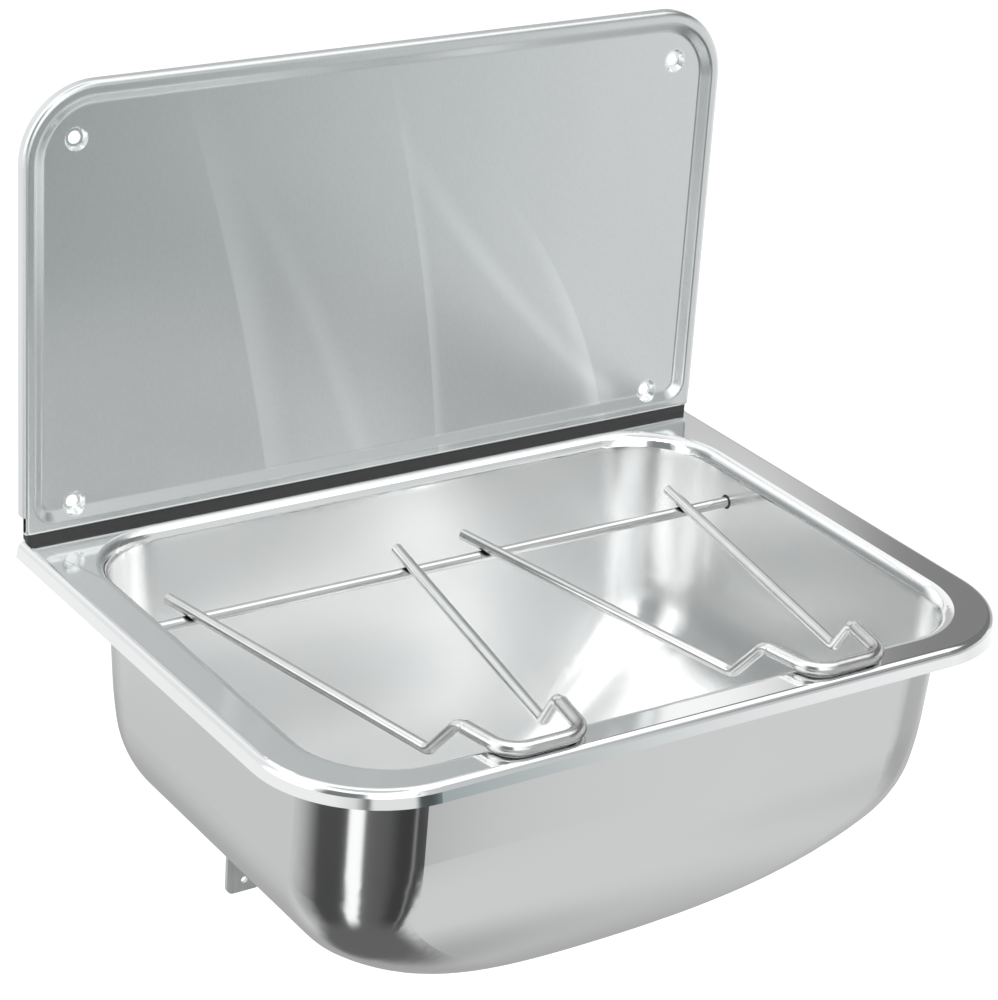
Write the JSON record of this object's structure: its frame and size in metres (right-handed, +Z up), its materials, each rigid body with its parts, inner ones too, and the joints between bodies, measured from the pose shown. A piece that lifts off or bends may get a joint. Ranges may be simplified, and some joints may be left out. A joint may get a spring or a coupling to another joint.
{
  "type": "wall-hung utility sink",
  "caption": "Wall-hung stainless steel utility sink: deep drawn bowl with a flat rim, pressed splashback with screw dimples, hinged wire grate for a bucket and a strainer waste.",
  "frame": {"origin": "centre of the splashback's wall screw pattern, on the wall plane", "axes": "+X to the right seen from the front, +Y into the wall, +Z up"},
  "size_m": [0.5, 0.37, 0.574],
  "materials": {
    "bowl_steel": "polished rim, satin bowl",
    "panel_steel": "satin, brushed upright",
    "wire_steel": "bright drawn wire",
    "bracket_steel": "mill",
    "clear_sleeve": "clear, glossy",
    "black_rubber": "matt",
    "black_plastic": "matt",
    "waste_plastic": "matt moulded"
  },
  "bodies": {
    "sink": {"basin": "bowl_steel", "splashback": "panel_steel", "splashback_seal": "black_rubber", "rod_bush_left": "black_plastic", "rod_bush_right": "black_plastic", "wall_bracket_left": "bracket_steel", "wall_bracket_right": "bracket_steel", "waste_strainer": "bowl_steel", "waste_top_gasket": "black_rubber", "waste_bottom_gasket": "black_rubber", "waste_body": "waste_plastic", "waste_screw": "wire_steel"},
    "grate": {"hinge_rod": "wire_steel", "bucket_loop_left": "wire_steel", "bucket_loop_right": "wire_steel", "sleeve_left": "clear_sleeve", "sleeve_right": "clear_sleeve"}
  },
  "joints": [
    {"name": "grate_hinge", "type": "hinge", "parent": "sink", "child": "grate", "pos_m": [0, -0.095, -0.1608], "axis": [-1, 0, 0], "range_deg": [0, 102]}
  ]
}
